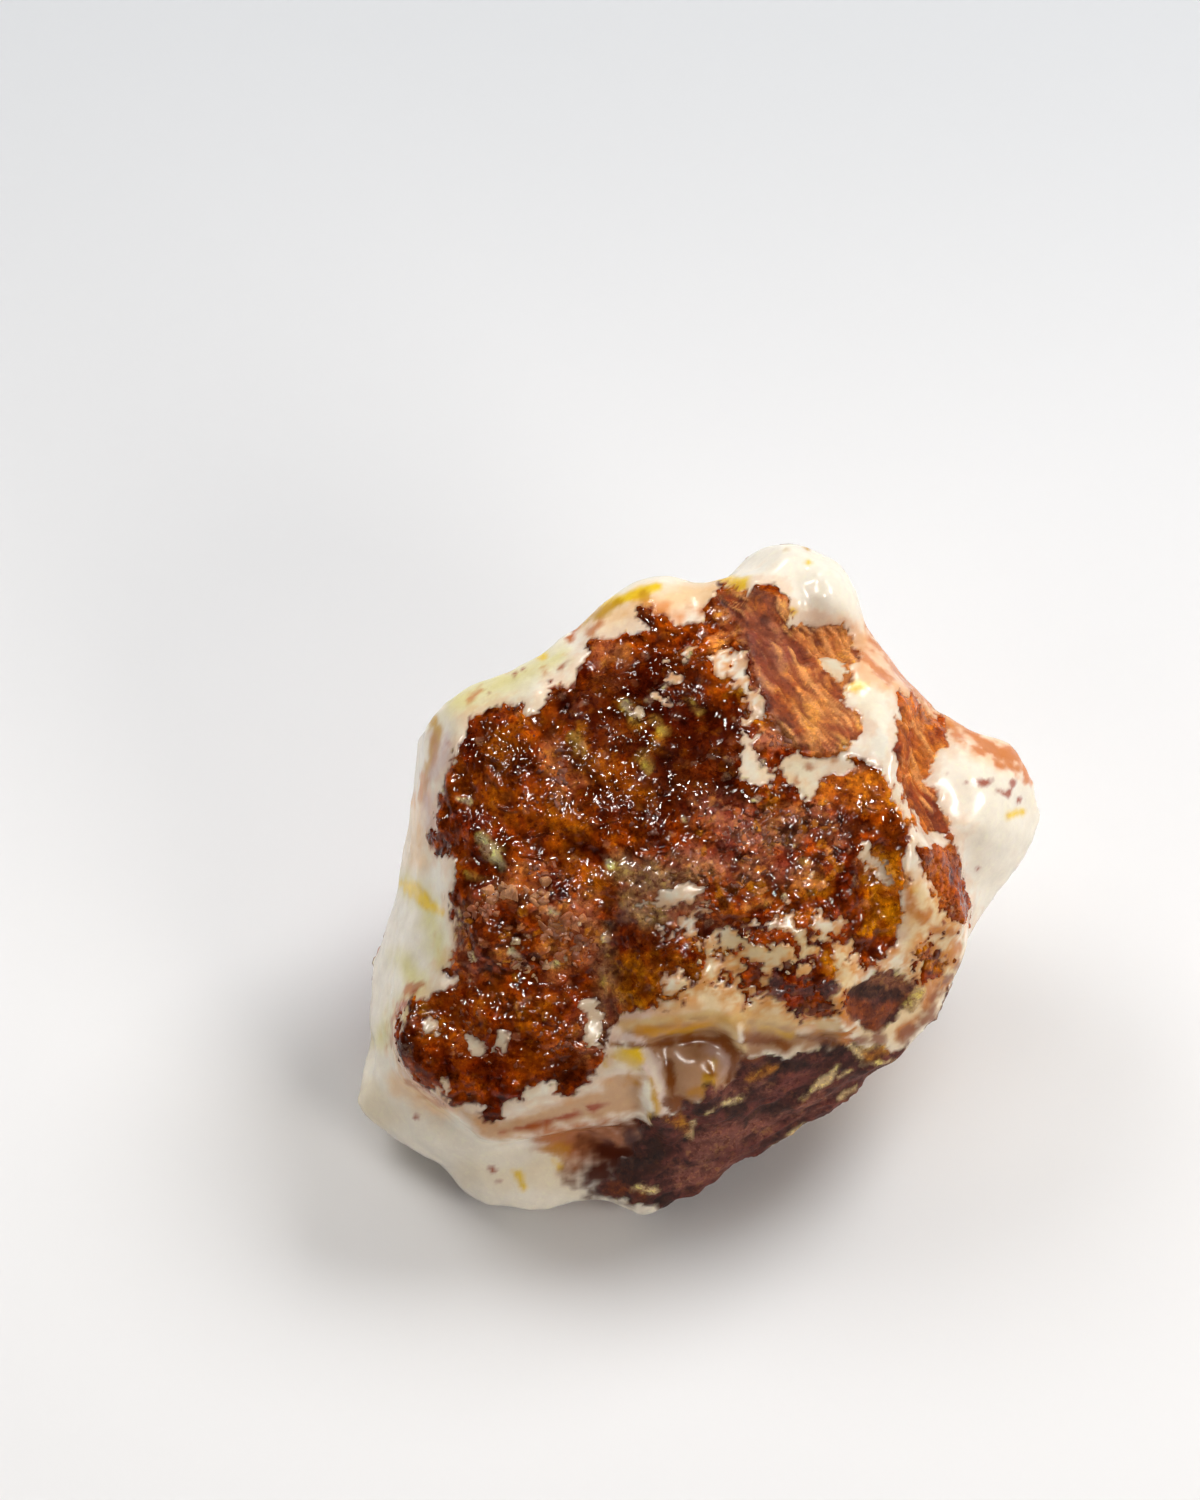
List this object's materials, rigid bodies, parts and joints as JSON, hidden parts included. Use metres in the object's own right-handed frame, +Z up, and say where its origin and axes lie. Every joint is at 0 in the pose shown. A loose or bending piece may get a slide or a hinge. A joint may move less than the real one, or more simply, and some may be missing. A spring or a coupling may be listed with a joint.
{
  "type": "boulder opal",
  "caption": "Rough lump of boulder opal: a glossy rust-brown ironstone crust with white opal round its edge, in knobs, folds and a ledge, lying on a small flat spot.",
  "frame": {"origin": "centre of the bounding box in X and Y, on the surface that the stone lies on", "axes": "+Z up; +X along the longest extent, to the right as the crust is seen from above its front; -Y faces that viewer"},
  "size_m": [0.046, 0.038, 0.0301],
  "materials": {
    "opal": "glossy wet-looking rust-brown crust over smooth, milky white opal, with a matte plum-brown side"
  },
  "bodies": {
    "root": {"opal_stone": "opal"}
  },
  "joints": []
}
